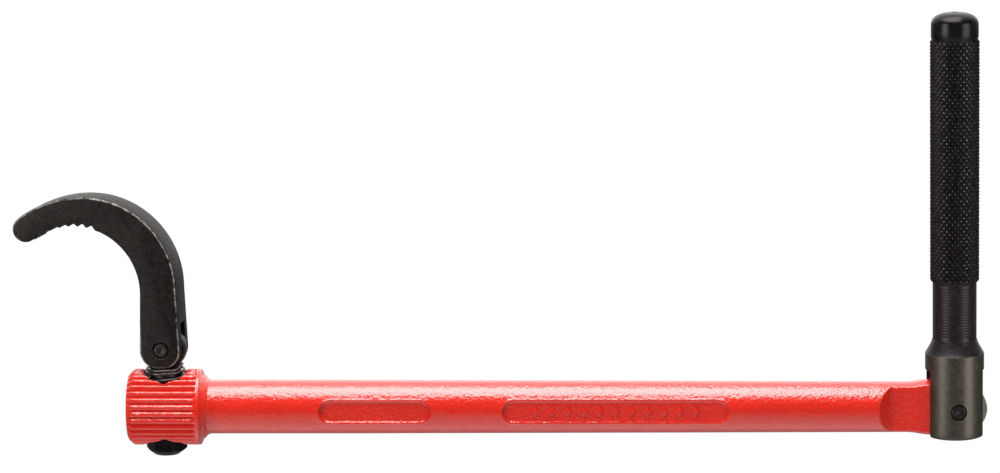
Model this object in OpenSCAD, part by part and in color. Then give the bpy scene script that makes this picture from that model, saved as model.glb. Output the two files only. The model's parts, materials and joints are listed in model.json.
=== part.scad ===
// Basin wrench with a swivelling hook jaw and a folding knurled handle.
// The shaft lies along X with the jaw at its low end. The handle stands up along +Z.
// Every module is drawn on the crossing of the post's axis and the shaft's axis, and
// from_datum() carries it to the origin, the centre of the bounding box's bottom.

/* [Shaft] */
// Distance from the post's axis to the handle pin
pivot_x = 223.5; // [190:0.1:320]
// Diameter of the fluted head
head_d = 21.5; // [20:0.1:24]
// Head, from the post's axis to its free end
head_left = 10.4; // [9.5:0.1:12]
// Head, from the post's axis to its shoulder
head_right = 10; // [9.5:0.1:12]
// Number of flutes round the head
flute_n = 32; // [20:1:40]
// Shaft diameter next to the head
shaft_d_head = 15.2; // [14:0.1:16]
// Shaft diameter next to the blade
shaft_d_blade = 14.4; // [13:0.1:15]
// Thickness of the blade that enters the handle's slot
blade_t = 7; // [6:0.1:8]
// Radius of the round eye at the blade's end
eye_r = 8.7; // [8.3:0.1:9]

/* [Recessed panels] */
// Height of both panels
panel_h = 6.1; // [4:0.1:8]
// Distance of a panel's flat floor from the shaft's axis
panel_floor = 6.35; // [5.5:0.05:6.8]
// Near end and far end of the short panel
panel_short = [43.7, 74.9];
// Near end and far end of the long panel
panel_long = [95.4, 158.9];

/* [Jaw] */
// Swivel of the jaw about the post as it is stored, in degrees
jaw_turn = -9; // [-20:1:0]
// Height of the jaw pin above the shaft's axis
jaw_pin_z = 17.13; // [17:0.01:19]
// Thickness of the hook
jaw_t = 10; // [9:0.1:12]
// Radius of the hook's mouth
mouth_r = 18.5; // [16:0.1:19]
// Width of the fork's slot
fork_w = 4.2; // [4:0.05:4.4]
// Number of teeth inside the hook
tooth_n = 9; // [7:1:9]
// Depth of the teeth
tooth_h = 0.95; // [0.5:0.05:1.2]

/* [Handle] */
// Diameter of the slotted collar
collar_d = 16.5; // [16:0.1:17]
// Diameter of the turned neck
neck_d = 12.3; // [11:0.1:13]
// Diameter over the knurl
knurl_d = 13.3; // [12:0.1:15]
// Top of the handle above the handle pin
handle_top = 112; // [110:1:160]
// Lean of the handle from upright as it is stored, in degrees
handle_lean = -1.5; // [-5:0.5:5]
// Diameter of both hinge pins
pin_d = 4.2; // [4:0.1:4.5]

/* [Hidden] */
$fn = 96;
eps = 0.01;
run = 0.05;              // radial clearance of every running fit
head_r = head_d / 2;

// Shaft
rim = [1.55, 1.3];       // chamfer on the head's free end, along the axis and across it
shoulder = [0.7, 1.65];  // bevel behind the head, along the axis and across it
fillet_r = 2;            // hollow between the bevel and the round bar
flute_r = 0.95;          // cutter of one flute
flute_depth = 0.5;
flute_stop = 0.9;        // plain band between the flutes' ends and the shoulder
blade_x = pivot_x - 17;   // where the blade's flat cheeks begin
cheek_r = 4;             // hollow at the root of the blade
blade_h = shaft_d_blade;
flare_from = 12;         // the blade starts to widen this far before the handle pin
flare_mid = [7, 0.4];    // a point on the flare: distance to the pin, rise
taper_from = 50;         // the shaft is parallel up to here, and tapers from here on
far = 60;                // reach of a cutter that only has to be long enough

// Post and its seats
seat_r = 6.3;            // spotfaces above and below
seat_top = 5;             // floors of the seats, from the shaft's axis
seat_low = -5.75;
post_r = 3.5;
thread_r = 3;            // M6
collar_r = 4.4;
collar_top = 10.6;
tongue_t = 4;
tongue_r = 6.1;
tongue_w = 8.4;
washer = [12, 6.4, 1.6]; // outside, hole, thickness
nut_af = 10;
nut_h = 6;
nut_flat_r = 3.8;        // flat ring at the nut's closed end
nut_taper = 1.6;
nut_low = seat_low - run - washer[2] - nut_h;

// Springs
jaw_wire = 0.8;
jaw_coil_r = 5.2;
friction_wire = 0.6;
friction_coil_r = 2.3;

// Jaw, measured from the jaw pin: the mouth and the two arcs of the hook's back
mouth_c = [-24.2, 16.3];
back_c = [-21.2, 17.3];
back_r = 25.85;
crown_drop = 6.5;        // the crown's centre lies this far below the back's
crown_r = back_r + crown_drop;
shank_in = -6.1;
shank_out = 5.5;
fork_low = -5.2;
fork_corner_r = 5;
slot_top = 7.5;
nose_c = [-38.7, 33.5];
nose_r = 3.6;
beak_cut = [37, -20];     // angles of the two cuts that end the beak at the nose
tooth_first = 71.2;      // angle of the innermost tooth, round the mouth
tooth_pitch = 8.1;

// Handle, measured from the handle pin
collar_low = -8.1;
collar_high = 15.9;
cone_high = 19.6;
knurl_z = [36.4, handle_top - 7];
plain_d = 13.1;
dome_h = 2.5;
dome_flat_r = 4.6;
crotch = 11.2;
edge = 0.6;              // chamfer on the collar's ends
ball_r = 3;
ball_z = eye_r + run + ball_r;
bore_top = 26;

// Box of the whole wrench, which sets the origin
nose_x = nose_c[0] - nose_r;
low_x = nose_x * cos(jaw_turn) + jaw_t / 2 * sin(jaw_turn);
high_x = pivot_x + eye_r;
low_y = -head_r;
high_y = nose_x * sin(jaw_turn) + jaw_t / 2 * cos(jaw_turn);

module from_datum() {
    translate([-(low_x + high_x) / 2, -(low_y + high_y) / 2, -nut_low]) children();
}

// Places a jaw piece drawn from the jaw pin, with the pin along Y
module at_jaw() {
    rotate([0, 0, jaw_turn]) translate([0, 0, jaw_pin_z]) children();
}

module at_handle() {
    translate([pivot_x, 0, 0]) rotate([0, handle_lean, 0]) children();
}

// Cylinder along Y, centred on the origin
module across(r, length) {
    rotate([90, 0, 0]) cylinder(r = r, h = length, center = true);
}

// Slab of an outline in the XZ plane, centred on Y
module slab(t) {
    rotate([90, 0, 0]) linear_extrude(height = t, center = true) children();
}

// Wire coil round Z with flat closed turns at both ends
module coil(r, wire, low, high, turns) {
    sides = 6;
    steps = 16;
    count = floor(turns * steps);
    rise = high - low - wire;
    // the first and last turns lie nearly flat, and the pitch is taken up between them
    height = function(t) low + wire / 2 + rise * (t - sin(360 * t) / (2 * PI) * 0.6);
    points = [for (i = [0 : count], k = [0 : sides - 1])
        let (a = 360 * i / steps, b = 360 * k / sides, q = r + wire / 2 * cos(b))
        [q * cos(a), q * sin(a), height(i / count) + wire / 2 * sin(b)]];
    skin = [for (i = [0 : count - 1], k = [0 : sides - 1])
        let (a = i * sides + k, b = i * sides + (k + 1) % sides)
        [a, b, b + sides, a + sides]];
    start = [[for (k = [sides - 1 : -1 : 0]) k]];
    finish = [[for (k = [0 : sides - 1]) count * sides + k]];
    polyhedron(points = points, faces = concat(skin, start, finish), convexity = 8);
}

module shaft_blank() {
    s = head_right + shoulder[0];
    hollow_c = [s + 1.3 * fillet_r, shaft_d_head / 2 + fillet_r];
    rotate([0, 90, 0]) rotate_extrude() difference() {
        polygon([
            [0, -head_left],
            [head_r - rim[1], -head_left],
            [head_r, -head_left + rim[0]],
            [head_r, head_right],
            [head_r - shoulder[1], s],
            [hollow_c[1], hollow_c[0]],
            [shaft_d_head / 2, hollow_c[0]],
            [shaft_d_head / 2, taper_from],
            [blade_h / 2, blade_x],
            [0, blade_x]
        ]);
        translate([hollow_c[1], hollow_c[0]]) circle(r = fillet_r);
    }
}

module flutes() {
    length = head_left + head_right - flute_stop;
    for (i = [0 : flute_n - 1])
        rotate([(i + 0.5) * 360 / flute_n, 0, 0])
            translate([-head_left - eps, 0, head_r - flute_depth + flute_r])
                rotate([0, 90, 0]) cylinder(r = flute_r, h = length, $fn = 24);
}

// Long recess with round ends and a flat floor, on the side facing -Y
module panel(ends) {
    r = panel_h / 2;
    depth = head_r;
    for (x = [ends[0] + r, ends[1] - r])
        translate([x, -panel_floor - depth / 2, 0]) across(r, depth);
    translate([ends[0] + r, -panel_floor - depth, -r]) cube([ends[1] - ends[0] - panel_h, depth, panel_h]);
}

module blade() {
    root = blade_x - 1.5 * cheek_r;
    z = blade_h / 2;
    upper = [[pivot_x, eye_r], [pivot_x - flare_mid[0], z + flare_mid[1]], [pivot_x - flare_from, z], [root, z]];
    slab(blade_t) {
        polygon(concat(upper, [for (i = [3 : -1 : 0]) [upper[i][0], -upper[i][1]]]));
        translate([pivot_x, 0]) circle(r = eye_r);
    }
}

module shaft_body() {
    color("firebrick") from_datum() difference() {
        union() {
            difference() {
                shaft_blank();
                for (side = [-1, 1])
                    translate([blade_x, side * (blade_t / 2 + cheek_r), 0])
                        cylinder(r = cheek_r, h = far, center = true);
            }
            blade();
        }
        flutes();
        for (side = [0, 1]) mirror([0, side, 0]) {
            panel(panel_short);
            panel(panel_long);
        }
        cylinder(r = post_r + run, h = far, center = true);
        translate([0, 0, seat_top]) cylinder(r = seat_r, h = far);
        translate([0, 0, seat_low - far]) cylinder(r = seat_r, h = far);
        at_handle() across(pin_d / 2 + run, far);
    }
}

module swivel_post() {
    color("dimgray") from_datum() {
        difference() {
            union() {
                translate([0, 0, seat_top + run]) cylinder(r = collar_r, h = collar_top - seat_top - run);
                at_jaw() {
                    across(tongue_r, tongue_t);
                    translate([-tongue_w / 2, -tongue_t / 2, collar_top - jaw_pin_z - 1])
                        cube([tongue_w, tongue_t, jaw_pin_z - collar_top + 1]);
                }
            }
            at_jaw() across(pin_d / 2 + run, far);
        }
        translate([0, 0, seat_low - run]) cylinder(r = post_r, h = seat_top - seat_low + 2 * run);
        translate([0, 0, nut_low + 0.3]) cylinder(r = thread_r, h = seat_low - nut_low - run - 0.3);
    }
}

module jaw_spring() {
    color("black") from_datum()
        coil(jaw_coil_r, jaw_wire, seat_top + run, jaw_pin_z + fork_low - run, 4.6);
}

module swivel_washer() {
    color("gray") from_datum() translate([0, 0, seat_low - run - washer[2]]) difference() {
        cylinder(r = washer[0] / 2, h = washer[2]);
        translate([0, 0, -1]) cylinder(r = washer[1] / 2, h = washer[2] + 2);
    }
}

module swivel_locknut() {
    corner_r = nut_af / 2 / cos(30);
    color("black") from_datum() translate([0, 0, nut_low]) difference() {
        intersection() {
            cylinder(r = corner_r, h = nut_h, $fn = 6);
            rotate_extrude() polygon([
                [0, 0], [nut_flat_r, 0], [corner_r, nut_taper],
                [corner_r, nut_h - 0.4], [corner_r - 0.6, nut_h], [0, nut_h]
            ]);
        }
        translate([0, 0, -1]) cylinder(r = thread_r, h = nut_h + 2);
    }
}

module rotate_about(point, angle) {
    translate(point) rotate(angle) children();
}

module hook_outline() {
    crown_c = [back_c[0], back_c[1] - crown_drop];
    difference() {
        union() {
            intersection() {
                translate(back_c) circle(r = back_r);
                translate(back_c) square(back_r);
            }
            intersection() {
                translate(crown_c) circle(r = crown_r);
                translate([crown_c[0] - far, crown_c[1]]) square(far);
            }
            // the shank, up to the two arcs
            polygon([
                [shank_in, 0], [shank_out, 0], [back_c[0] + back_r, back_c[1]],
                [back_c[0], back_c[1]], [back_c[0], mouth_c[1]], [mouth_c[0] + mouth_r, mouth_c[1]]
            ]);
            for (x = [shank_in, shank_out])
                translate([x - sign(x) * fork_corner_r, fork_low + fork_corner_r]) circle(r = fork_corner_r);
            translate([shank_in + fork_corner_r, fork_low])
                square([shank_out - shank_in - 2 * fork_corner_r, fork_corner_r + 1]);
        }
        translate(mouth_c) circle(r = mouth_r);
        // the beak ends in the nose, square to its arc above and open to the mouth below
        rotate_about(nose_c, beak_cut[0]) translate([-far, -far]) square([far, 2 * far]);
        rotate_about(nose_c, beak_cut[1]) translate([-far, -far]) square(far);
    }
    translate(nose_c) circle(r = nose_r);
}

// Notches between the teeth, cut into the mouth's round wall
module tooth_gaps() {
    w = mouth_r * tooth_pitch * PI / 180;
    for (i = [0 : tooth_n - 2])
        translate(mouth_c) rotate(tooth_first + (i + 0.5) * tooth_pitch)
            polygon([[mouth_r - tooth_h, -w / 2], [mouth_r, -w / 2], [mouth_r + tooth_h, 0],
                     [mouth_r, w / 2], [mouth_r - tooth_h, w / 2]]);
}

module hook_jaw() {
    color("black") from_datum() at_jaw() difference() {
        slab(jaw_t) difference() {
            hook_outline();
            tooth_gaps();
        }
        translate([-far / 2, -fork_w / 2, slot_top - far]) cube([far, fork_w, far]);
        across(pin_d / 2, far);
    }
}

// Plain pin with a chamfer at each end
module hinge_pin(length) {
    r = pin_d / 2;
    rotate([90, 0, 0]) rotate_extrude() polygon([
        [0, -length / 2], [r - 0.3, -length / 2], [r, -length / 2 + 0.3],
        [r, length / 2 - 0.3], [r - 0.3, length / 2], [0, length / 2]
    ]);
}

module jaw_pin() {
    color("dimgray") from_datum() at_jaw() hinge_pin(jaw_t - 0.2);
}

module handle_bar() {
    color("black") from_datum() at_handle() difference() {
        rotate_extrude() polygon([
            [0, collar_low],
            [collar_d / 2 - edge, collar_low],
            [collar_d / 2, collar_low + edge],
            [collar_d / 2, collar_high],
            [neck_d / 2, cone_high],
            [neck_d / 2, knurl_z[0] - 0.3],
            [knurl_d / 2, knurl_z[0]],
            [knurl_d / 2, knurl_z[1]],
            [plain_d / 2, knurl_z[1] + 0.2],
            [plain_d / 2, handle_top - dome_h],
            [dome_flat_r, handle_top],
            [0, handle_top]
        ]);
        translate([-far / 2, -blade_t / 2 - run, crotch - far]) cube([far, blade_t + 2 * run, far]);
        across(pin_d / 2, far);
        cylinder(r = ball_r + run, h = bore_top);
    }
}

module handle_pin() {
    color("dimgray") from_datum() at_handle() hinge_pin(collar_d - 0.5);
}

module friction_ball() {
    color("silver") from_datum() at_handle() translate([0, 0, ball_z]) sphere(r = ball_r);
}

module friction_spring() {
    color("silver") from_datum() at_handle()
        coil(friction_coil_r, friction_wire, ball_z + ball_r + run, bore_top - run, 6.5);
}

shaft_body();
swivel_post();
jaw_spring();
swivel_washer();
swivel_locknut();
hook_jaw();
jaw_pin();
handle_bar();
handle_pin();
friction_ball();
friction_spring();
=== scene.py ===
import json
import math

import bmesh
import bpy
import numpy as np
from mathutils import Matrix, Vector


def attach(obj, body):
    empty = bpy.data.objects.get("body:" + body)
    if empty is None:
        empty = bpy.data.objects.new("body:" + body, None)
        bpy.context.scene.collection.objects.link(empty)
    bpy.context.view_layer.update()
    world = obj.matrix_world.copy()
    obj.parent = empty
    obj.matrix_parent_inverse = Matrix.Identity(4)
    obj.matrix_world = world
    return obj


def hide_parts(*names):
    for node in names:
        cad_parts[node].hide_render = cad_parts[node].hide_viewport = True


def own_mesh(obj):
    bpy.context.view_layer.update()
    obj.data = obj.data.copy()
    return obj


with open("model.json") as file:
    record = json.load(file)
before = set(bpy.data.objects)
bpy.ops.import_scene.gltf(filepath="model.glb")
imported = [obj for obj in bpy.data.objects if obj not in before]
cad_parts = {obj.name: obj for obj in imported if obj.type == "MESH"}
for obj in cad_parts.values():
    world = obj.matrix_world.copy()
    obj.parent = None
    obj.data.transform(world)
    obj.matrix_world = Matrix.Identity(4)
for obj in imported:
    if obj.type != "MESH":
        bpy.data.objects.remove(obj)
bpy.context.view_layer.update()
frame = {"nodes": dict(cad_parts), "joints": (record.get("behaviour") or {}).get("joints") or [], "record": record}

# ---------------------------------------------------------------------------------------------
# The forging: head, shaft, blade and eye in one bar of chrome vanadium steel, drop forged with
# the flutes, panels and blade pressed in the die, then dipped in red enamel and baked.
# The post's seats in the head and the eye at the far end are machined later and stay bare.
# ---------------------------------------------------------------------------------------------
# Sizes are in millimetres, and places along the shaft are counted from the post's axis.
mm = 0.001
joints = {j["name"]: j for j in frame["joints"]}
post_at = Vector(joints["jaw_swivel"]["pos_m"])
handle_pin_at = Vector(joints["handle_swing"]["pos_m"])
shaft_place = Matrix.Translation(post_at)
along_y = Matrix.Rotation(math.pi / 2, 4, "X")
pin_x = (handle_pin_at.x - post_at.x) / mm

head_r, head_left, head_right = 10.75, 10.4, 10.0
flute_count, flute_depth, flute_stop = 32, 0.75, 0.9
bar_r_head, bar_r_blade, taper_from = 7.6, 7.2, 50.0
panels = [(43.7, 74.9), (95.4, 158.9)]
panel_half, panel_floor, panel_edge = 3.05, 6.35, 0.55
bead_h, bead_out, bead_wide = 0.09, 0.38, 0.3
blade_half, ramp_deep = 3.5, 0.12
ramp_from, ramp_to, root_to = pin_x - 22.4, pin_x - 18.4, pin_x - 17.0
eye_r, eye_round, bare_r = 8.7, 2.5, 6.9
flare_x, flare_wide, flare_h = -10.2, 6.6, 0.78
seat_r, seat_top, seat_low, rim_deep, rim_wide = 6.3, 5.0, -5.75, 0.28, 0.7
post_bore_r, pin_bore_r = 3.55, 2.15
around = 320


def arc(centre, radius, start, end, count):
    """Points on a circle, from one angle to another in degrees, ends included."""
    angles = np.radians(np.linspace(start, end, count))
    return [(centre[0] + radius * math.cos(a), centre[1] + radius * math.sin(a)) for a in angles]


def spread(start, end, count):
    """Evenly spaced numbers, without the last."""
    return list(np.linspace(start, end, count, endpoint=False))


def rise(value, edge, width):
    """0 below an edge and 1 above it, with a smooth rise of the given width."""
    t = np.clip((value - edge) / width + 0.5, 0, 1)
    return t * t * (3 - 2 * t)


def lesser(a, b, width):
    """The smaller of two radii, with the edge between them rounded off."""
    h = np.clip(0.5 + 0.5 * (b - a) / width, 0, 1)
    return b * (1 - h) + a * h - width * h * (1 - h)


def solid(name, points, faces, place):
    """A piece drawn in millimetres on its own axes, closed, facing outwards and put in its place."""
    mesh = bpy.data.meshes.new(name)
    mesh.from_pydata([tuple(p) for p in points], [], faces)
    shape = bmesh.new()
    shape.from_mesh(mesh)
    bmesh.ops.remove_doubles(shape, verts=shape.verts, dist=0.002)
    bmesh.ops.recalc_face_normals(shape, faces=shape.faces)
    shape.to_mesh(mesh)
    shape.free()
    mesh.transform(place @ Matrix.Scale(mm, 4))
    piece = bpy.data.objects.new(name, mesh)
    bpy.context.scene.collection.objects.link(piece)
    return piece


def skin(name, loops, place, caps=(True, True)):
    """A solid wrapped round a row of loops that all have the same number of points."""
    loops = np.array(loops)
    rows, count = loops.shape[:2]
    faces = []
    for here in range(0, (rows - 1) * count, count):
        for k in range(count):
            after = (k + 1) % count
            faces.append((here + k, here + after, here + count + after, here + count + k))
    if caps[0]:
        faces.append(tuple(range(count - 1, -1, -1)))
    if caps[1]:
        faces.append(tuple((rows - 1) * count + k for k in range(count)))
    return solid(name, loops.reshape(-1, 3), faces, place)


def turned(name, outline, place, sides=96):
    """A piece turned round Z. The outline is (radius, height) points, from pole to pole or as a ring."""
    ring = outline[0][0] > 0
    angles = 2 * math.pi * np.arange(sides) / sides
    rows = outline + outline[:1] if ring else outline
    loops = [[(r * math.cos(a), r * math.sin(a), z) for a in angles] for r, z in rows]
    return skin(name, loops, place, caps=(False, False))


def combine(piece, cutters, operation="DIFFERENCE"):
    """Cuts pieces out of a piece, or joins them to it, and removes the cutters."""
    for cutter in cutters:
        modifier = piece.modifiers.new("cut", "BOOLEAN")
        modifier.object, modifier.operation, modifier.solver = cutter, operation, "EXACT"
    plain(piece)
    for cutter in cutters:
        bpy.data.objects.remove(cutter)
    return piece


def plain(piece):
    """Turns what the modifiers give into the piece's plain mesh."""
    graph = bpy.context.evaluated_depsgraph_get()
    result = bpy.data.meshes.new_from_object(piece.evaluated_get(graph))
    piece.modifiers.clear()
    piece.data = result
    return piece


def add(tree, kind, inputs=None, **settings):
    """Adds a node with its settings. An input is a value, an output, or a node, for its first output."""
    node = tree.nodes.new(kind)
    for key, value in settings.items():
        setattr(node, key, value)
    for key, value in (inputs or {}).items():
        if isinstance(value, bpy.types.Node):
            value = value.outputs[0]
        if isinstance(value, bpy.types.NodeSocket):
            tree.links.new(value, node.inputs[key])
        else:
            node.inputs[key].default_value = value
    return node


def new_tree(name, **inputs):
    """An empty Geometry Nodes tree: itself, its named inputs and its output."""
    tree = bpy.data.node_groups.new(name, "GeometryNodeTree")
    tree.interface.new_socket(name="Geometry", in_out="INPUT", socket_type="NodeSocketGeometry")
    for key, kind in inputs.items():
        tree.interface.new_socket(name=key, in_out="INPUT", socket_type="NodeSocket" + kind)
    tree.interface.new_socket(name="Geometry", in_out="OUTPUT", socket_type="NodeSocketGeometry")
    return tree, tree.nodes.new("NodeGroupInput").outputs, tree.nodes.new("NodeGroupOutput").inputs


def grow(piece, tree, **values):
    """Runs a Geometry Nodes tree on a piece, with its inputs given by name, and keeps the plain mesh."""
    modifier = piece.modifiers.new(tree.name, "NODES")
    for item in tree.interface.items_tree:
        if item.item_type == "SOCKET" and item.in_out == "INPUT" and item.name in values:
            values[item.identifier] = values.pop(item.name)
    modifier.node_group = tree
    for identifier, value in values.items():
        modifier[identifier] = value
    return plain(piece)


def shade(piece, *materials, sharp=35):
    """Gives a piece its materials, with smooth faces and edges that stay sharp above an angle."""
    slots = piece.data.materials
    for i, material in enumerate(materials):
        if i < len(slots):
            slots[i] = material
        else:
            slots.append(material)
    piece.data.shade_smooth()
    piece.data.set_sharp_from_angle(angle=math.radians(sharp))
    return piece


def forging_outline():
    """Half of the round forging before its flats are pressed: radius against distance from the post."""
    rim = [(-head_left, 9.15)] + arc((-head_left + 0.45, 9.15), 0.45, 180, 140, 4)
    rim += arc((-head_left + 1.9, head_r - 0.75), 0.75, 128, 90, 6)
    shoulder = arc((head_right - 0.25, head_r - 0.4), 0.4, 90, 23, 5) + [(head_right + 0.75, 9.0)]
    hollow = arc((head_right + 3.1, bar_r_head + 2.0), 2.0, 203, 270, 9)
    bar = [(taper_from, bar_r_head), (root_to, bar_r_blade), (pin_x + eye_r, bar_r_blade)]
    return rim + shoulder + hollow + bar


def forging_places():
    """Where the forging has its cross-sections: close together wherever the shape changes."""
    places = spread(-head_left, -head_left + 3.0, 14) + spread(-head_left + 3.0, head_right - 1.6, 44)
    places = spread(-head_left, -head_left + 3.0, 14) + spread(-head_left + 3.0, head_right - 1.6, 44)
    places += spread(head_right - 1.6, head_right + 3.4, 24)
    places += spread(head_right + 3.4, panels[0][0] - 0.5, 5)
    for low, high in panels:
        places += spread(low - 0.5, low + 3.3, 18) + spread(low + 3.3, high - 3.3, 6)
        places += spread(high - 3.3, high + 0.5, 18) + spread(high + 0.5, high + 18, 3)
    places += spread(panels[1][1] + 18.5, ramp_from - 0.4, 3) + spread(ramp_from - 0.4, ramp_to - 0.3, 24)
    places += spread(ramp_to - 0.3, ramp_to + 0.3, 7) + spread(ramp_to + 0.3, root_to + 0.4, 6)
    places += spread(root_to + 0.4, pin_x - 1.2, 12)
    return places + [pin_x + eye_r * math.sin(a) for a in np.linspace(-0.1, math.pi / 2, 22)]


outline = forging_outline()
turn = 2 * math.pi * np.arange(around) / around
side, up = np.sin(turn), np.cos(turn)
flatness = np.maximum(np.abs(side), 1e-6)


def forging_section(x):
    """One cross-section: a round, cut by the panels' floors and the blade's flats."""
    radius = np.full(around, float(np.interp(x, [p[0] for p in outline], [p[1] for p in outline])))
    for low, high in panels:
        if low - 1 < x < high + 1:
            beyond = max(low + panel_half - x, x - high + panel_half, 0)
            inside = panel_half - np.hypot(beyond, radius * up)
            pressed = rise(inside, 0.0, panel_edge)
            bead = bead_h * np.exp(-((inside + bead_out) / bead_wide) ** 2)
            radius = (radius + bead) * (1 - pressed) + np.minimum(radius, panel_floor / flatness) * pressed
    if x > ramp_from - 0.4:
        back = (ramp_to - x) / (ramp_to - ramp_from)
        half = blade_half - ramp_deep + (bar_r_blade + 0.2 + ramp_deep - blade_half) * max(back, 0) ** 1.2
        half += ramp_deep * float(rise(x, (ramp_to + root_to) / 2, root_to - ramp_to))
        radius = lesser(radius, half / flatness, 0.35)
    # The rim of each seat is rounded off.
    seat = np.hypot(x, radius * side)
    radius = radius - rim_deep * np.clip(1 - (seat - seat_r) / rim_wide, 0, 1) ** 2 * (np.abs(up) > 0.5)
    # The blade widens to the eye, which is truly round wherever the friction ball runs on it.
    past = x - pin_x
    eye_edge = math.sqrt(eye_r ** 2 - eye_round ** 2)
    flare_end = flare_x + flare_wide / 2
    tall = bar_r_blade + flare_h * float(rise(past, flare_x, flare_wide))
    tall += (eye_edge - tall) * np.clip((past - flare_end) / (-eye_round - flare_end), 0, 1)
    if past > -eye_round:
        tall = math.sqrt(max(eye_r ** 2 - past ** 2, 0))
    return np.stack([np.full(around, x), radius * side, radius * up * tall / bar_r_blade], axis=1)


forging_loops = [forging_section(x) for x in forging_places()]
forging = skin("shaft_forging", forging_loops, shaft_place, caps=(True, False))

# The ribs round the head: each point moves in by the depth of the rib's outline at its angle.
flutes, given, made = new_tree("pressed_flutes", Count="Float", Depth="Float", Start="Vector",
                               Length="Float")
position = add(flutes, "GeometryNodeInputPosition")
local = add(flutes, "ShaderNodeVectorMath", {0: position, 1: given["Start"]}, operation="SUBTRACT")
parts = add(flutes, "ShaderNodeSeparateXYZ", {0: local}).outputs
across = add(flutes, "ShaderNodeCombineXYZ", {"Y": parts["Y"], "Z": parts["Z"]})
angle = add(flutes, "ShaderNodeMath", {0: parts["Y"], 1: parts["Z"]}, operation="ARCTAN2")
half = add(flutes, "ShaderNodeMath", {0: given["Count"], 1: 0.5}, operation="MULTIPLY")
phase = add(flutes, "ShaderNodeMath", {0: angle, 1: half}, operation="MULTIPLY")
cosine = add(flutes, "ShaderNodeMath", {0: phase}, operation="COSINE")
wave = add(flutes, "ShaderNodeMath", {0: cosine}, operation="ABSOLUTE")
fall = add(flutes, "ShaderNodeMath", {0: wave, 1: -1.0, 2: 1.0}, operation="MULTIPLY_ADD")
full_at = add(flutes, "ShaderNodeMath", {0: given["Length"], 1: -0.7 * mm}, operation="ADD")
ends = add(flutes, "ShaderNodeMapRange", {"Value": parts["X"], "From Min": given["Length"],
           "From Max": full_at}, interpolation_type="SMOOTHSTEP")
deep = add(flutes, "ShaderNodeMath", {0: fall, 1: given["Depth"]}, operation="MULTIPLY")
deep = add(flutes, "ShaderNodeMath", {0: deep, 1: ends}, operation="MULTIPLY")
sunk = add(flutes, "ShaderNodeMapRange", {"Value": parts["X"], "From Max": 0.9 * mm, "To Max": -1.0})
excess = add(flutes, "ShaderNodeMath", {0: deep, 1: sunk}, operation="MULTIPLY")
toward = add(flutes, "ShaderNodeVectorMath", {0: across}, operation="NORMALIZE")
move = add(flutes, "ShaderNodeVectorMath", {0: toward, "Scale": excess}, operation="SCALE")
moved = add(flutes, "GeometryNodeSetPosition", {"Geometry": given["Geometry"], "Offset": move})
flutes.links.new(moved.outputs[0], made[0])
grow(forging, flutes, Count=flute_count, Depth=flute_depth * mm,
     Start=post_at - Vector((head_left * mm, 0, 0)), Length=(head_left + head_right - flute_stop) * mm)

# Bare machined places: the eye, both seats, the post's bore and the pin's bore.
for face in forging.data.polygons:
    x, z = face.center.x - handle_pin_at.x, face.center.z - handle_pin_at.z
    face.material_index = int(math.hypot(x, z) < bare_r * mm or x > 3 * mm)

# Cutters reach this far from their centre, well past the piece.
far = 16.0


def bore_across(place):
    """The cutter for a hinge pin's bore, along Y."""
    rod = [(0, -far), (pin_bore_r, -far), (pin_bore_r, far), (0, far)]
    return turned("bore", rod, place @ along_y, sides=48)


seats = turned("seats", [(0, -far), (seat_r, -far), (seat_r, seat_low), (post_bore_r, seat_low),
                         (post_bore_r, seat_top), (seat_r, seat_top), (seat_r, far), (0, far)], shaft_place)
bore = bore_across(Matrix.Translation(handle_pin_at))
for cutter in (seats, bore):
    cutter.data.polygons.foreach_set("material_index", [1] * len(cutter.data.polygons))
combine(forging, [seats, bore])

# Raised marks in the long panels, plain lozenges on both sides.
marks, given, made = new_tree("raised_lozenges", Count="Int", Pitch="Float", Start="Vector", Reach="Float",
                              Width="Float", Height="Float", Rise="Float", Material="Material")
both_rows = add(marks, "ShaderNodeMath", {0: given["Count"], 1: 2.0}, operation="MULTIPLY")
dots = add(marks, "GeometryNodePoints", {"Count": both_rows})
index = add(marks, "GeometryNodeInputIndex")
behind = add(marks, "FunctionNodeCompare", {2: index, 3: given["Count"]}, data_type="INT",
             operation="GREATER_EQUAL")
place = add(marks, "ShaderNodeMath", {0: index, 1: given["Count"]}, operation="MODULO")
along = add(marks, "ShaderNodeMath", {0: place, 1: given["Pitch"]}, operation="MULTIPLY")
sign = add(marks, "ShaderNodeMath", {0: behind, 1: 2.0, 2: -1.0}, operation="MULTIPLY_ADD")
out = add(marks, "ShaderNodeMath", {0: sign, 1: given["Reach"]}, operation="MULTIPLY")
spot = add(marks, "ShaderNodeCombineXYZ", {"X": along, "Y": out})
spot = add(marks, "ShaderNodeVectorMath", {0: spot, 1: given["Start"]}, operation="ADD")
dots = add(marks, "GeometryNodeSetPosition", {"Geometry": dots, "Position": spot})
lozenge = add(marks, "GeometryNodeMeshCone", {"Vertices": 4, "Radius Top": 0.62, "Radius Bottom": 1.0,
                                              "Depth": 1.0}).outputs["Mesh"]
lying = add(marks, "GeometryNodeTransform", {"Geometry": lozenge, "Rotation": (math.pi / 2, 0.0, 0.0)})
size = add(marks, "ShaderNodeCombineXYZ", {"X": given["Width"], "Y": given["Rise"], "Z": given["Height"]})
lying = add(marks, "GeometryNodeTransform", {"Geometry": lying, "Scale": size})
facing = add(marks, "ShaderNodeMath", {0: behind, 1: math.pi}, operation="MULTIPLY")
facing = add(marks, "ShaderNodeCombineXYZ", {"Z": facing})
row = add(marks, "GeometryNodeInstanceOnPoints", {"Points": dots, "Instance": lying, "Rotation": facing})
row = add(marks, "GeometryNodeRealizeInstances", {"Geometry": row})
row = add(marks, "GeometryNodeSetMaterial", {"Geometry": row, "Material": given["Material"]})
marks.links.new(row.outputs[0], made[0])


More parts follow.
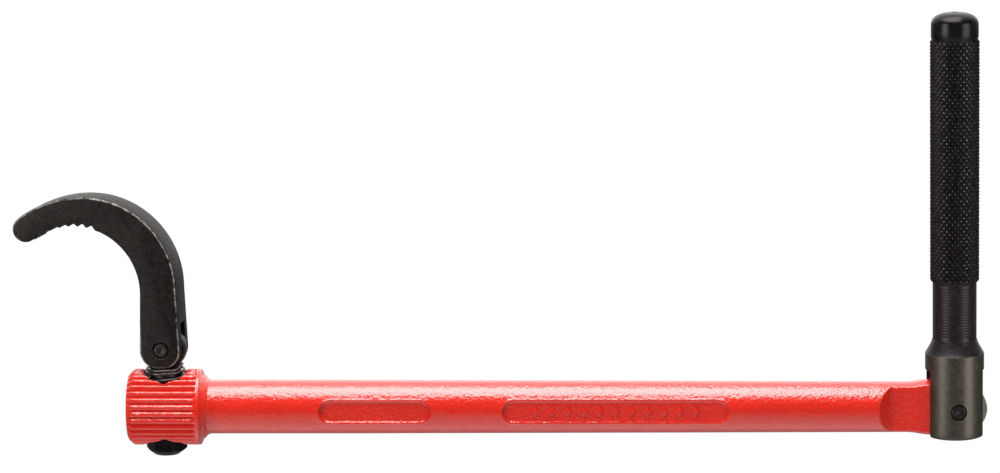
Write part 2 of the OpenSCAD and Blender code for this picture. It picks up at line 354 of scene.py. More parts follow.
def colour(code):
    """An sRGB hex colour as the linear one that the shaders take."""
    parts = [int(code[i:i + 2], 16) / 255 for i in (1, 3, 5)]
    return tuple(p / 12.92 if p <= 0.04045 else ((p + 0.055) / 1.055) ** 2.4 for p in parts) + (1.0,)


def new_material(name):
    """An empty material: itself, its node tree and the object coordinates in metres."""
    material = bpy.data.materials.new(name)
    material.use_nodes = True
    material.node_tree.nodes.clear()
    return material, material.node_tree, add(material.node_tree, "ShaderNodeTexCoord").outputs["Object"]


# Baked enamel, dipped: a thick glossy coat over the forging's scale. It shows a slow orange peel
# of about 1 mm, a finer ripple of about half that, and a slightly deeper red where it has run thick.
red_enamel, tree, coords = new_material("baked_enamel_dipped")
peel = add(tree, "ShaderNodeTexNoise", {"Vector": coords, "Scale": 1 / (1.1 * mm), "Detail": 1.5,
                                        "Roughness": 0.5})
ripple = add(tree, "ShaderNodeTexNoise", {"Vector": coords, "Scale": 1 / (0.5 * mm), "Detail": 1.0})
runs = add(tree, "ShaderNodeTexNoise", {"Vector": coords, "Scale": 1 / (9 * mm), "Detail": 3.0})
tint = add(tree, "ShaderNodeMix", {0: runs, 6: colour("#D8220D"), 7: colour("#C41A08")}, data_type="RGBA")
relief = add(tree, "ShaderNodeMath", {0: ripple, 1: 0.5, 2: peel}, operation="MULTIPLY_ADD")
bump = add(tree, "ShaderNodeBump", {"Height": relief, "Strength": 1.0, "Distance": 0.17 * mm})
shader = add(tree, "ShaderNodeBsdfPrincipled", {"Base Color": tint.outputs[2], "Roughness": 0.34,
             "IOR": 1.5, "Coat Weight": 1.0, "Coat Roughness": 0.06, "Coat IOR": 1.5, "Normal": bump,
             "Coat Normal": bump})
add(tree, "ShaderNodeOutputMaterial", {"Surface": shader})

# Steel, turned and bored: bare bright metal under a film of oil, with blotches where the oil has
# dried, and tool marks that are drawn 2.2 mm apart, several times coarser than they are, to show.
bare_steel, tree, coords = new_material("bare_steel_machined")
tool = add(tree, "ShaderNodeTexWave", {"Vector": coords, "Scale": 1 / (0.35 * mm) / 20, "Distortion": 1.2,
           "Detail": 1.0}, wave_type="RINGS", rings_direction="SPHERICAL").outputs["Color"]
film = add(tree, "ShaderNodeTexNoise", {"Vector": coords, "Scale": 1 / (4 * mm), "Detail": 4.0})
grey = add(tree, "ShaderNodeMix", {0: film, 6: colour("#A9A59C"), 7: colour("#D3D1CB")}, data_type="RGBA")
gloss = add(tree, "ShaderNodeMapRange", {"Value": film, "To Min": 0.28, "To Max": 0.45})
bump = add(tree, "ShaderNodeBump", {"Height": tool, "Strength": 0.3, "Distance": 0.02 * mm})
shader = add(tree, "ShaderNodeBsdfPrincipled", {"Base Color": grey.outputs[2], "Metallic": 1.0,
                                                "Roughness": gloss, "Normal": bump})
add(tree, "ShaderNodeOutputMaterial", {"Surface": shader})

shade(forging, red_enamel, bare_steel, sharp=38)
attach(forging, "shaft")
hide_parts("shaft_body")

lozenges = bpy.data.objects.new("shaft_raised_lozenges", bpy.data.meshes.new("shaft_raised_lozenges"))
bpy.context.scene.collection.objects.link(lozenges)
mark_count, mark_pitch, mark_wide, mark_tall, mark_rise, mark_sunk = 11, 4.5, 1.35, 1.75, 0.34, 0.08
first_mark = (panels[1][0] + panels[1][1]) / 2 - (mark_count - 1) * mark_pitch / 2
grow(lozenges, marks, Count=mark_count, Pitch=mark_pitch * mm,
     Start=post_at + Vector((first_mark * mm, 0, 0)), Reach=(panel_floor + mark_rise / 2 - mark_sunk) * mm,
     Width=mark_wide * mm, Height=mark_tall * mm, Rise=mark_rise * mm, Material=red_enamel)
shade(lozenges, red_enamel)
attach(lozenges, "shaft")

# ---------------------------------------------------------------------------------------------
# The swivel post: turned from steel bar and blacked, with a flat round tongue milled on its top
# for the jaw. It turns in the head, and the washer and the locknut hold it from below.
# ---------------------------------------------------------------------------------------------
jaw_pin_at = Vector(joints["jaw_tilt"]["pos_m"])
jaw_across = joints["jaw_tilt"]["axis"]
jaw_turn = -math.atan2(jaw_across[0], jaw_across[1])
jaw_place = Matrix.Translation(jaw_pin_at) @ Matrix.Rotation(jaw_turn, 4, "Z")
pin_height = (jaw_pin_at.z - post_at.z) / mm
# The last of these is the running gap between pieces that turn on each other.
post_r, collar_r, collar_top, run = 3.5, 4.4, 10.6, 0.05
tongue_r, tongue_half, neck_half = 6.1, 2.0, 4.2
thread_r, nut_low = 3.0, -post_at.z / mm


def steel_blacked(name, dark, light, metallic, rough, grain_size, grain_depth):
    """Black oxide on steel: a satin brown-black skin that follows the finish of the metal under it.

    It is cloudy over 1.7 mm, with a grain of the given size and depth, and it turns grey where the
    piece's attribute for rubbed spots marks it: edges rubbed through on the jaw, and on the knurl's
    tips rubbed oxide and a painted glint in one."""
    material, tree, coords = new_material(name)
    cloud = add(tree, "ShaderNodeTexNoise", {"Vector": coords, "Scale": 1 / (1.7 * mm), "Detail": 5.0,
                                             "Roughness": 0.65})
    grain = add(tree, "ShaderNodeTexNoise", {"Vector": coords, "Scale": 1 / (grain_size * mm), "Detail": 3.0})
    both = add(tree, "ShaderNodeMath", {0: cloud, 1: grain}, operation="ADD")
    patchy = add(tree, "ShaderNodeMapRange", {"Value": both, "From Min": 0.82, "From Max": 1.18})
    skin_tone = add(tree, "ShaderNodeMix", {0: patchy, 6: colour(dark), 7: colour(light)}, data_type="RGBA")
    # Grey where the attribute marks: rubbed edges, and on the knurl's tips a painted glint as well.
    rubbed_and_tip_glint = add(tree, "ShaderNodeAttribute", attribute_name="wear_and_glint").outputs["Fac"]
    patch = add(tree, "ShaderNodeMapRange", {"Value": cloud, "From Min": 0.38, "From Max": 0.6})
    rubbed_and_tip_glint = add(tree, "ShaderNodeMath", {0: rubbed_and_tip_glint, 1: patch}, operation="MULTIPLY")
    tone = add(tree, "ShaderNodeMix", {0: rubbed_and_tip_glint, 6: skin_tone.outputs[2], 7: colour("#8F8A86")},
               data_type="RGBA")
    gloss = add(tree, "ShaderNodeMapRange", {"Value": cloud, "From Min": 0.3, "From Max": 0.7,
                                             "To Min": rough - 0.05, "To Max": rough + 0.07})
    bump = add(tree, "ShaderNodeBump", {"Height": grain, "Strength": 0.6, "Distance": grain_depth * mm})
    shader = add(tree, "ShaderNodeBsdfPrincipled", {"Base Color": tone.outputs[2], "Metallic": metallic,
                                                    "Roughness": gloss, "Normal": bump})
    add(tree, "ShaderNodeOutputMaterial", {"Surface": shader})
    return material


turned_black = steel_blacked("steel_turned_and_blacked", "#2B2624", "#3A3432", 0.85, 0.36, 0.5, 0.012)

post = [(0, nut_low + 0.3), (2.5, nut_low + 0.3), (thread_r, nut_low + 0.8), (thread_r, seat_low - 0.35)]
post += [(post_r, seat_low - 0.05), (post_r, seat_top + run), (collar_r - 0.25, seat_top + run)]
post += [(collar_r, seat_top + run + 0.25), (collar_r, collar_top - 0.35)]
post += [(collar_r - 0.35, collar_top), (0, collar_top)]
shank = turned("swivel_post", post, shaft_place, sides=64)
neck_from = collar_top - pin_height - 1
lean = math.degrees(math.asin(neck_half / tongue_r))
tongue_line = [(-neck_half, neck_from), (neck_half, neck_from)]
tongue_line += arc((0, 0), tongue_r, -90 + lean, 270 - lean, 60)
tongue_loops = []
for where, inset in [(-1, 0.35), (-0.8, 0.1), (-0.6, 0.0), (0.6, 0.0), (0.8, 0.1), (1, 0.35)]:
    kept = 1 - inset / tongue_r
    tongue_loops.append([(x * kept, tongue_half * where, z * kept) for x, z in tongue_line])
combine(shank, [skin("tongue", tongue_loops, jaw_place)], "UNION")
combine(shank, [bore_across(jaw_place)])
shade(shank, turned_black)
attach(shank, "swivel")
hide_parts("swivel_post")

# ---------------------------------------------------------------------------------------------
# The washer and the locknut under the head: a pressed washer and a nut turned from hexagonal bar,
# both blacked and oiled. The nut's outer end is tapered.
# ---------------------------------------------------------------------------------------------
washer_r, washer_hole, washer_t, washer_edge = 6.0, 3.2, 1.6, 0.25
nut_af, nut_h, nut_flat_r, nut_taper, nut_hole, nut_around = 10.0, 6.0, 3.8, 1.6, 3.03, 96
washer_low = seat_low - run - washer_t
oiled_black = steel_blacked("steel_blacked_and_oiled", "#171413", "#262221", 0.85, 0.3, 0.8, 0.02)

rim = arc((washer_r - washer_edge, washer_edge), washer_edge, -90, 0, 4)
rim += arc((washer_r - washer_edge, washer_t - washer_edge), washer_edge, 0, 90, 4)
hole = [(washer_hole + 0.15, washer_t), (washer_hole, washer_t - 0.15)]
hole += [(washer_hole, 0.15), (washer_hole + 0.15, 0)]
washer = turned("swivel_washer", rim + hole, Matrix.Translation(post_at + Vector((0, 0, washer_low * mm))))
shade(washer, oiled_black)
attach(washer, "swivel")
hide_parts("swivel_washer")

corner_r = nut_af / 2 / math.cos(math.pi / 6)
angles = 2 * math.pi * np.arange(nut_around) / nut_around
hexagon = nut_af / 2 / np.cos(angles % (math.pi / 3) - math.pi / 6)
outside = [(nut_hole, 0.3), (nut_hole + 0.3, 0), (nut_flat_r - 0.2, 0)]
outside += arc((nut_flat_r - 0.35, 0.5), 0.5, -70, -40, 4)
for t in (0.25, 0.5, 0.75):
    outside.append((nut_flat_r + (corner_r - nut_flat_r) * t, 0.2 + (nut_taper - 0.2) * t))
outside += arc((corner_r - 0.3, nut_taper + 0.2), 0.3, -35, 0, 4)
outside += arc((corner_r - 0.5, nut_h - 0.6), 0.5, 0, 60, 5)
outside += [(corner_r - 0.7, nut_h), (nut_hole + 0.3, nut_h), (nut_hole, nut_h - 0.3), (nut_hole, 0.3)]
loops = []
for r, z in outside:
    reach = np.full(nut_around, r)
    if r > nut_hole + 0.4:
        reach = lesser(reach, hexagon, 0.12)
    loops.append(np.stack([reach * np.cos(angles), reach * np.sin(angles), np.full(nut_around, z)], axis=1))
nut_place = Matrix.Translation(post_at + Vector((0, 0, nut_low * mm)))
nut = skin("swivel_locknut", loops, nut_place, caps=(False, False))
shade(nut, oiled_black, sharp=32)
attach(nut, "swivel")
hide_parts("swivel_locknut")

# ---------------------------------------------------------------------------------------------
# The jaw spring: a coil of 0.8 mm black spring wire that stands in the head's seat and presses
# on the fork of the jaw, so that the hook stays at the tilt that it was set to.
# ---------------------------------------------------------------------------------------------
jaw_wire, jaw_coil_r, jaw_turns, jaw_start, jaw_tail, fork_low = 0.8, 5.2, 4.6, 126.0, 1.5, -5.2

wire, given, made = new_tree("drawn_wire", Radius="Float", Sides="Int", Material="Material")
line = add(wire, "GeometryNodeMeshToCurve", {"Mesh": given["Geometry"]})
ring = add(wire, "GeometryNodeCurvePrimitiveCircle", {"Radius": given["Radius"],
                                                      "Resolution": given["Sides"]})
swept = add(wire, "GeometryNodeCurveToMesh", {"Curve": line, "Profile Curve": ring, "Fill Caps": True})
swept = add(wire, "GeometryNodeRealizeInstances", {"Geometry": swept})
swept = add(wire, "GeometryNodeSetMaterial", {"Geometry": swept, "Material": given["Material"]})
wire.links.new(swept.outputs[0], made[0])


def coil(name, radius, thickness, low, high, turns, start, place, material, tail=0.0):
    """A wire coil round Z with flat end turns, whose cut end stands up by the length of the tail."""
    steps = int(turns * 28)
    t = np.linspace(0, 1, steps + 1)
    turn_at = np.radians(start) + 2 * math.pi * turns * t
    climb = t - 0.6 * np.sin(2 * math.pi * t) / (2 * math.pi)
    height = low + thickness / 2 + (high - low - thickness) * climb
    height = height + tail * np.clip(1 - (1 - t) * turns / 0.09, 0, 1) ** 1.5
    points = np.stack([radius * np.cos(turn_at), radius * np.sin(turn_at), height], axis=1) * mm
    mesh = bpy.data.meshes.new(name)
    mesh.from_pydata([tuple(p) for p in points], [(i, i + 1) for i in range(steps)], [])
    mesh.transform(place)
    piece = bpy.data.objects.new(name, mesh)
    bpy.context.scene.collection.objects.link(piece)
    grow(piece, wire, Radius=thickness / 2 * mm, Sides=10, Material=material)
    return shade(piece, material, sharp=60)


# Spring wire, drawn and blacked: smooth and oily, so it shows a thin bright line along each turn.
# Its grey is lighter than the other blacked parts: a painted sheen for the broad grey highlights on its turns.
spring_black_painted_sheen = steel_blacked("spring_wire_blacked_painted_sheen", "#454240", "#5A5754", 0.9, 0.3, 0.4, 0.004)
jaw_spring = coil("jaw_spring", jaw_coil_r, jaw_wire, seat_top + run, pin_height + fork_low - run, jaw_turns,
                  jaw_start, shaft_place, spring_black_painted_sheen, tail=jaw_tail)
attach(jaw_spring, "swivel")
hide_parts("jaw_spring")
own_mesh(jaw_spring)

# ---------------------------------------------------------------------------------------------
# The hook jaw: a flat hook drop forged from the same steel, 10 mm thick, with a row of
# teeth milled in the mouth under its beak and a fork slotted in its foot. It is hardened and blacked.
# ---------------------------------------------------------------------------------------------
jaw_half, slot_half, slot_top, hole_r = 5.0, 2.1, 7.5, 2.12
mouth_c, mouth_r = (-24.2, 16.3), 18.5
back_c, back_r = (-21.2, 17.3), 25.85
crown_c, crown_r = (-21.2, 10.8), 32.35
nose_c, nose_r = (-38.7, 33.5), 3.6
shank_in, shank_out, foot_r = -6.1, 5.5, 5.0
tooth_first, tooth_last, tooth_pitch, tooth_h = 71.2, 129.6, 8.1, 0.95

tooth_angles = np.linspace(tooth_last, 68.0, 100)
crest = np.abs(2 * (((tooth_angles - tooth_first) / tooth_pitch) % 1.0) - 1)
crest = np.where(tooth_angles > tooth_first, crest, 1.0)
tooth_radius = mouth_r + tooth_h * (1 - np.clip(crest * 1.12 - 0.06, 0, 1))
teeth = []
for a, r in zip(np.radians(tooth_angles), tooth_radius):
    teeth.append((mouth_c[0] + r * math.cos(a), mouth_c[1] + r * math.sin(a)))

# The outline, from the foot up the back and round the nose: each stretch's points, and how far its
# edges are rounded.
stretches = [(arc((shank_out - foot_r, fork_low + foot_r), foot_r, 270, 360, 14), 0.6),
             ([(shank_out - 0.85 * t, 17.3 * t) for t in (0.15, 0.3, 0.45, 0.6, 0.75, 0.9)], 0.6),
             (arc(back_c, back_r, 0, 88, 48), 0.6),
             (arc(crown_c, crown_r, 90, 126.4, 24), 0.6),
             (arc(nose_c, nose_r, 130, 311, 26), 0.5),
             (teeth, 0.18),
             (arc(mouth_c, mouth_r, 67, 0, 36), 0.4),
             ([(shank_in + 0.4 * t, 16.3 * t) for t in (0.9, 0.75, 0.6, 0.45, 0.3, 0.15)], 0.5),
             (arc((shank_in + foot_r, fork_low + foot_r), foot_r, 180, 270, 14), 0.6)]
hook_line = np.array([p for points, _ in stretches for p in points])
softness = np.array([e for points, e in stretches for _ in points])
for _ in range(3):
    softness = (np.roll(softness, 1) + softness + np.roll(softness, -1)) / 3
ahead, back = np.roll(hook_line, -1, axis=0), np.roll(hook_line, 1, axis=0)
along = (ahead - back) / np.linalg.norm(ahead - back, axis=1)[:, None]
inward = np.stack([-along[:, 1], along[:, 0]], axis=1)
hook_loops = []
for sign in (-1, 1):
    for step in np.radians([0, 22.5, 45, 67.5, 90])[::-sign]:
        points = hook_line + inward * (softness * (1 - math.sin(step)))[:, None]
        y = sign * (jaw_half - softness * (1 - math.cos(step)))
        hook_loops.append(np.stack([points[:, 0], y, points[:, 1]], axis=1))
hook = skin("hook_jaw", hook_loops, jaw_place)
wear_and_glint = hook.data.attributes.new("wear_and_glint", "FLOAT", "POINT")
inverse = jaw_place.inverted()
rubbed = []
for vertex in hook.data.vertices:
    x, y, z = (inverse @ vertex.co) / mm
    outside = math.hypot(x - mouth_c[0], z - mouth_c[1]) > mouth_r + 2.5 or z < 0
    rubbed.append(float(outside and jaw_half - 0.35 < abs(y) < jaw_half - 0.02))
wear_and_glint.data.foreach_set("value", rubbed)


def slot_through(half, top, place):
    """The cutter for a slot along X, open below and closed at the given height."""
    corners = [(-far, -half), (far, -half), (far, half), (-far, half)]
    points = [(x, y, z) for z in (-far, top) for x, y in corners]
    faces = [(0, 1, 2, 3), (4, 5, 6, 7), (0, 1, 5, 4), (1, 2, 6, 5), (2, 3, 7, 6), (3, 0, 4, 7)]
    return solid("slot", points, faces, place)


def pin_hole(half, chamfer, place):
    """The cutter for a pin's hole along Y, chamfered where it leaves a piece of the given half width."""
    upper = [(hole_r, half - chamfer), (hole_r + 0.35, half), (hole_r + 0.4, far), (0, far)]
    return turned("hole", [(r, -z) for r, z in reversed(upper)] + upper, place @ along_y, sides=64)


combine(hook, [slot_through(slot_half, slot_top, jaw_place), pin_hole(jaw_half, 0.5, jaw_place)])

# Forged and blacked: the skin lies over a tumbled forged face, so the grain is coarse, near 0.4 mm.
forged_black = steel_blacked("steel_forged_and_blacked", "#0F0C0B", "#251F1D", 0.8, 0.46, 0.4, 0.15)
shade(hook, forged_black, sharp=40)
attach(hook, "jaw")
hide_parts("hook_jaw")

# ---------------------------------------------------------------------------------------------
# The two hinge pins: hardened dowels pressed through the jaw's fork and the handle's collar,
# a little below the surface, each with a punched centre in its faces.
# ---------------------------------------------------------------------------------------------
grip = {m["name"]: m for m in frame["record"]["mounts"]}["grip_bar"]
handle_lean = math.atan2(grip["axis"][0], grip["axis"][2])
handle_place = Matrix.Translation(handle_pin_at) @ Matrix.Rotation(handle_lean, 4, "Y")
dowels = (("jaw_pin", "jaw", jaw_place, 4.88), ("handle_pin", "handle", handle_place, 7.95))
pin_black = steel_blacked("dowel_steel_blacked", "#262120", "#37312F", 0.85, 0.4, 0.3, 0.01)
for name, body, place, half in dowels:
    end = [(0, half - 0.3), (0.28, half - 0.12), (0.5, half), (1.6, half)]
    end += arc((1.6, half - 0.45), 0.45, 75, 15, 4) + [(2.08, half - 0.6)]
    pin = turned(name, end + [(r, -z) for r, z in reversed(end)], place @ along_y, sides=48)
    shade(pin, pin_black)
    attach(pin, body)
    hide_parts(name)

# ---------------------------------------------------------------------------------------------
# The handle: one bar of steel, turned with a collar, a neck and a domed end, diamond knurled with
# two crossed wheels, and slotted at the collar for the shaft's blade. The whole bar is blacked.
# ---------------------------------------------------------------------------------------------
collar_big, collar_low, collar_high, cone_high = 8.25, -8.1, 15.9, 19.6
neck_r, knurl_r, knurl_deep, knurl_from, knurl_to = 6.15, 6.65, 0.42, 36.4, 105.0
plain_r, dome_from, handle_top, dome_flat = 6.6, 109.0, 112.0, 1.6
slot_wide, crotch, ball_bore, bore_top = 3.55, 11.2, 3.05, 26.0
knurl_around, knurl_rise = 26, 1.9
ring_pitch, ring_deep = 0.8, 0.07

bar = [(0, collar_low), (collar_big - 0.9, collar_low)]
bar += arc((collar_big - 0.75, collar_low + 0.75), 0.75, -75, 0, 6)
bar += [(collar_big, z) for z in np.linspace(-6, collar_high - 0.3, 8)]
bar += arc((collar_big - 0.25, collar_high - 0.2), 0.25, 0, 50, 4)
cone_in, cone_up = collar_big - neck_r - 0.5, cone_high - collar_high - 0.7
bar += [(collar_big - 0.3 - cone_in * t, collar_high + 0.25 + cone_up * t) for t in (0.3, 0.6, 0.9)]
bar += arc((neck_r + 1.2, cone_high + 0.55), 1.2, 215, 180, 5)
for z in np.arange(cone_high + 0.9, knurl_from - 1.2, ring_pitch):
    bar += [(neck_r, z), (neck_r, z + 0.4), (neck_r - ring_deep, z + 0.6)]
core = knurl_r - knurl_deep
bar += [(neck_r, knurl_from - 0.5), (core + 0.15, knurl_from), (core, knurl_from + 0.4)]
bar += [(core, knurl_to - 0.9), (plain_r - 0.12, knurl_to - 0.1), (plain_r, knurl_to + 0.2)]
bar += [(plain_r, knurl_to + 2.4), (plain_r - 0.02, dome_from - 0.5)]
dome_in, dome_up = plain_r - 0.04 - dome_flat, handle_top - dome_from
bar += [(dome_flat + dome_in * math.cos(a), dome_from + dome_up * math.sin(a))
        for a in np.radians(np.linspace(0, 90, 18))]
bar += [(1.2, handle_top), (0.95, handle_top - 0.15), (0.45, handle_top - 0.8), (0, handle_top - 1.0)]
handle = turned("handle_bar", bar, handle_place, sides=120)
drill = [(0, -1), (ball_bore, -1), (ball_bore, bore_top), (0, bore_top + 1.5)]
combine(handle, [slot_through(slot_wide, crotch, handle_place), pin_hole(collar_big, 0.7, handle_place),
                 turned("bore", drill, handle_place, sides=64)])

knurl, given, made = new_tree("diamond_knurl", Around="Int", Rows="Int", Rise="Float", Start="Float",
                              Radius="Float", Depth="Float", Material="Material")
count = add(knurl, "ShaderNodeMath", {0: given["Around"], 1: given["Rows"]}, operation="MULTIPLY")
dots = add(knurl, "GeometryNodePoints", {"Count": count})
index = add(knurl, "GeometryNodeInputIndex")
row = add(knurl, "ShaderNodeMath", {0: index, 1: given["Around"]}, operation="DIVIDE")
row = add(knurl, "ShaderNodeMath", {0: row}, operation="FLOOR")
odd = add(knurl, "ShaderNodeMath", {0: row, 1: 2.0}, operation="MODULO")
step = add(knurl, "ShaderNodeMath", {0: odd, 1: 0.5, 2: index}, operation="MULTIPLY_ADD")
turn_size = add(knurl, "ShaderNodeMath", {0: 2 * math.pi, 1: given["Around"]}, operation="DIVIDE")
angle = add(knurl, "ShaderNodeMath", {0: step, 1: turn_size}, operation="MULTIPLY")
half_rise = add(knurl, "ShaderNodeMath", {0: given["Rise"], 1: 0.5}, operation="MULTIPLY")
height = add(knurl, "ShaderNodeMath", {0: row, 1: half_rise, 2: given["Start"]}, operation="MULTIPLY_ADD")
middle_r = add(knurl, "ShaderNodeMath", {0: given["Depth"], 1: -0.5, 2: given["Radius"]},
               operation="MULTIPLY_ADD")
spot = add(knurl, "ShaderNodeCombineXYZ", {"X": middle_r, "Z": height})
spin = add(knurl, "ShaderNodeCombineXYZ", {"Z": angle})
spot = add(knurl, "ShaderNodeVectorRotate", {"Vector": spot, "Rotation": spin}, rotation_type="EULER_XYZ")
dots = add(knurl, "GeometryNodeSetPosition", {"Geometry": dots, "Position": spot})
diamond = add(knurl, "GeometryNodeMeshCone", {"Vertices": 4, "Radius Top": 0.16, "Radius Bottom": 1.0,
                                              "Depth": 1.0}).outputs
# Each diamond's flat tip is marked grey: rubbed oxide and a painted glint in one.
marked = add(knurl, "GeometryNodeStoreNamedAttribute", {"Geometry": diamond["Mesh"], "Name": "wear_and_glint",
             "Value": diamond["Top"]}, data_type="FLOAT", domain="FACE")
tipped = add(knurl, "GeometryNodeTransform", {"Geometry": marked, "Rotation": (0.0, math.pi / 2, 0.0)})
width = add(knurl, "ShaderNodeMath", {0: turn_size, 1: given["Radius"]}, operation="MULTIPLY")
half_width = add(knurl, "ShaderNodeMath", {0: width, 1: 0.5}, operation="MULTIPLY")
size = add(knurl, "ShaderNodeCombineXYZ", {"X": given["Depth"], "Y": half_width, "Z": half_rise})
tipped = add(knurl, "GeometryNodeTransform", {"Geometry": tipped, "Scale": size})
field = add(knurl, "GeometryNodeInstanceOnPoints", {"Points": dots, "Instance": tipped, "Rotation": spin})
field = add(knurl, "GeometryNodeRealizeInstances", {"Geometry": field})
field = add(knurl, "GeometryNodeSetMaterial", {"Geometry": field, "Material": given["Material"]})
knurl.links.new(field.outputs[0], made[0])

# Turned, knurled and blacked: a finer skin than the jaw's, with a slight sheen and grey knurl tips, which
# are rubbed oxide and a painted glint in one. The knurl's skin is darker than the bar's, painted shade for
# its valleys. The collar is ground before it, and comes out paler. The dome is polished, and comes out
# glossier, and its darker skin is painted shade for the dark room that it reflects.
bar_black = steel_blacked("steel_bar_turned_and_blacked", "#252123", "#322D30", 0.85, 0.4, 0.35, 0.012)
collar_black = steel_blacked("steel_ground_and_blacked", "#46413B", "#555047", 0.85, 0.4, 0.3, 0.012)
knurl_black_painted_shade = steel_blacked("steel_knurled_blacked_painted_shade", "#1B1818", "#2B2727", 0.85, 0.36, 0.3, 0.01)
dome_black_painted_shade = steel_blacked("steel_polished_blacked_painted_shade", "#1A1818", "#262324", 0.85, 0.3, 0.5, 0.004)
rows = int((knurl_to - knurl_from - 1.0) / (knurl_rise / 2))
knurled = bpy.data.objects.new("knurled", bpy.data.meshes.new("knurled"))
bpy.context.scene.collection.objects.link(knurled)
grow(knurled, knurl, Around=knurl_around, Rows=rows, Rise=knurl_rise * mm, Start=(knurl_from + 0.7) * mm,
     Radius=knurl_r * mm, Depth=(knurl_deep + 0.03) * mm, Material=knurl_black_painted_shade)
knurled.data.transform(handle_place)
shade(knurled, knurl_black_painted_shade, sharp=10)
upright = handle_place.inverted()
finish_ends = [collar_high + 0.1, knurl_from - 0.2, knurl_to - 0.2]
for face in handle.data.polygons:
    height = (upright @ face.center).z / mm
    face.material_index = sum(height > end for end in finish_ends)
shade(handle, collar_black, bar_black, knurl_black_painted_shade, dome_black_painted_shade)
with bpy.context.temp_override(active_object=handle, object=handle, selected_objects=[handle, knurled],
                               selected_editable_objects=[handle, knurled]):
    bpy.ops.object.join()
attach(handle, "handle")
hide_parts("handle_bar")

# ---------------------------------------------------------------------------------------------
# The friction ball and its spring: a bearing ball and a bright steel coil in the handle's bore,
# which press on the shaft's eye and hold the handle where it was swung to.
# ---------------------------------------------------------------------------------------------
ball_z, ball_r, friction_wire, friction_r, friction_turns = 11.75, 3.0, 0.6, 2.3, 6.5
friction_spring = coil("friction_spring", friction_r, friction_wire, ball_z + ball_r + run, bore_top - run,
                       friction_turns, 0.0, handle_place, bare_steel)
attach(friction_spring, "handle")
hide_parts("friction_spring")
ball = frame["nodes"]["friction_ball"]
ball.data.materials.clear()
ball.data.materials.append(bare_steel)

# ---------------------------------------------------------------------------------------------
# The studio: a pale floor, one wide softbox overhead, softer lamps at both sides, a room that is
# light above and behind and dark in front, and a camera that looks slightly down on the wrench.
# ---------------------------------------------------------------------------------------------
floor_z = -0.105
floor = bpy.data.objects.new("studio_floor", bpy.data.meshes.new("studio_floor"))
floor.data.from_pydata([(-6, -6, 0), (6, -6, 0), (6, 6, 0), (-6, 6, 0)], [], [(0, 1, 2, 3)])
bpy.context.scene.collection.objects.link(floor)
matt_paper, tree, coords = new_material("matt_paper")
fibres = add(tree, "ShaderNodeTexNoise", {"Vector": coords, "Scale": 1 / (0.8 * mm), "Detail": 2.0})
white = add(tree, "ShaderNodeMix", {0: fibres, 6: colour("#9E9E9D"), 7: colour("#A3A3A3")}, data_type="RGBA")
shader = add(tree, "ShaderNodeBsdfPrincipled", {"Base Color": white.outputs[2], "Roughness": 0.9,
             "Specular IOR Level": 0.1, "Emission Color": (1, 1, 1, 1), "Emission Strength": 0.78})
add(tree, "ShaderNodeOutputMaterial", {"Surface": shader})
floor.data.materials.append(matt_paper)
# The floor lies just below the lowest reach of the handle, which swings down past a bench's edge.
# Only the camera sees it, and the wrench is lit from below by the lower half of the room instead.
floor.location.z = floor_z
floor.visible_diffuse = floor.visible_glossy = floor.visible_shadow = False

world = bpy.data.worlds.new("studio")
bpy.context.scene.world = world
world.use_nodes = True
tree = world.node_tree
tree.nodes.clear()
ways = add(tree, "ShaderNodeTexCoord").outputs["Generated"]
ways = add(tree, "ShaderNodeSeparateXYZ", {0: ways}).outputs
ahead = add(tree, "ShaderNodeMath", {0: ways["Y"], 1: -1.0}, operation="MULTIPLY")
round_x = add(tree, "ShaderNodeMath", {0: ways["Z"], 1: ahead}, operation="ARCTAN2")
turns = add(tree, "ShaderNodeMath", {0: round_x, 1: 0.5 / math.pi, 2: 1.0}, operation="MULTIPLY_ADD")
turns = add(tree, "ShaderNodeMath", {0: turns}, operation="FRACT")
walls = add(tree, "ShaderNodeValToRGB", {0: turns})
# How bright the room is round X, in degrees: 0 is in front, 90 overhead, 180 behind and 270 below.
brightness = {0: 0.13, 45: 0.13, 100: 0.6, 106: 1.35, 178: 1.35, 184: 0.3, 242: 0.25, 262: 1.1, 300: 0.9,
              334: 0.6, 345: 0.13}
stops = walls.color_ramp.elements
for i, (at, level) in enumerate(brightness.items()):
    stop = stops[i] if i < 2 else stops.new(1.0)
    stop.position, stop.color = at / 360, (level, level, level, 1.0)
sideways = add(tree, "ShaderNodeMath", {0: ways["X"]}, operation="ABSOLUTE")
open_side = add(tree, "ShaderNodeMapRange", {"Value": sideways, "From Min": 0.45, "From Max": 0.85,
                "To Min": 1.0, "To Max": 0.35}, interpolation_type="SMOOTHSTEP")
strength = add(tree, "ShaderNodeMath", {0: walls, 1: open_side}, operation="MULTIPLY")
room = add(tree, "ShaderNodeBackground", {"Color": (1, 1, 1, 1), "Strength": strength})
seen = add(tree, "ShaderNodeBackground", {"Color": (1, 1, 1, 1), "Strength": 1.0})
direct = add(tree, "ShaderNodeLightPath").outputs["Is Camera Ray"]
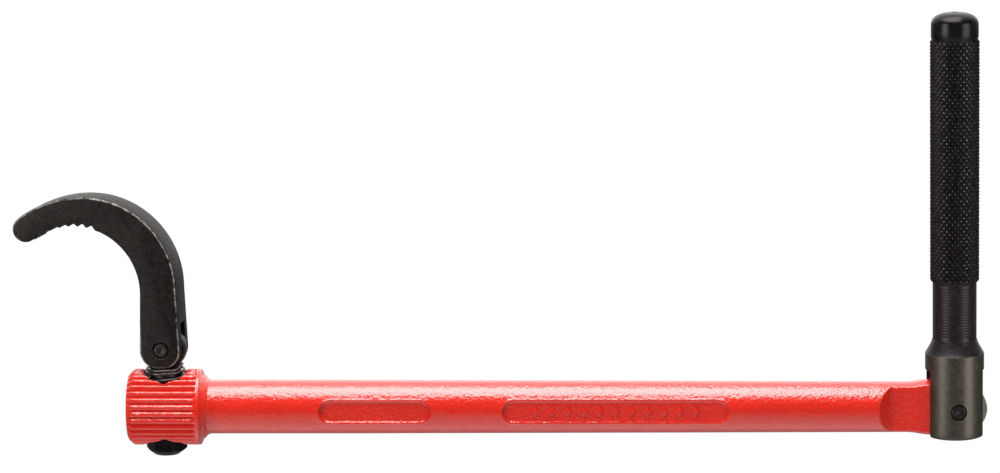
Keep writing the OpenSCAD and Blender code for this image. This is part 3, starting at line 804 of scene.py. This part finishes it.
mixed = add(tree, "ShaderNodeMixShader", {0: direct, 1: room, 2: seen})
add(tree, "ShaderNodeOutputWorld", {"Surface": mixed})

# The floor takes its light from the room alone, so that it stays evenly pale out to the horizon.
# The enamel gets its fill from the sides without their reflections, and the black parts get both.
lit = {"all_but_floor": ("EXCLUDE", [floor]), "enamelled": ("INCLUDE", [forging, lozenges]),
       "black": ("EXCLUDE", [floor, forging, lozenges])}
groups = {}
for group, (state, members) in lit.items():
    groups[group] = bpy.data.collections.new(group)
    for i, member in enumerate(members):
        groups[group].objects.link(member)
        groups[group].collection_objects[i].light_linking.link_state = state
lamps = [("softbox", (0, -0.105, 0.62), (0.56, 0.53), 7.6, "all_but_floor"),
         ("fill_left", (-0.8, -0.6, 0.05), (0.5, 0.6), 6.2, "enamelled"),
         ("fill_right", (0.8, -0.6, 0.05), (0.5, 0.6), 3.0, "enamelled"),
         ("strip_left", (-0.8, -0.6, 0.05), (0.45, 0.6), 6.0, "black"),
         ("strip_right", (0.8, -0.6, 0.05), (0.45, 0.6), 4.5, "black")]
for name, spot, (wide, tall), watts, group in lamps:
    lamp = bpy.data.objects.new(name, bpy.data.lights.new(name, "AREA"))
    lamp.data.shape, lamp.data.size, lamp.data.size_y, lamp.data.energy = "RECTANGLE", wide, tall, watts
    lamp.location = spot
    if name != "softbox":
        lamp.rotation_euler = Vector(spot).to_track_quat("Z", "Y").to_euler()
    lamp.visible_glossy = group != "enamelled"
    lamp.light_linking.receiver_collection = groups[group]
    bpy.context.scene.collection.objects.link(lamp)

look_at, distance, elevation = Vector((-0.00021, -0.0004, 0.06234)), 0.8, math.radians(9.7)
camera = bpy.data.objects.new("camera", bpy.data.cameras.new("camera"))
camera.data.lens, camera.data.sensor_width = 102.6, 36.0
camera.data.clip_start = 0.05
camera.location = look_at + distance * Vector((0, -math.cos(elevation), math.sin(elevation)))
camera.rotation_euler = (math.pi / 2 - elevation, 0, 0)
bpy.context.scene.collection.objects.link(camera)
bpy.context.scene.camera = camera
bpy.context.scene.view_settings.view_transform = "Standard"
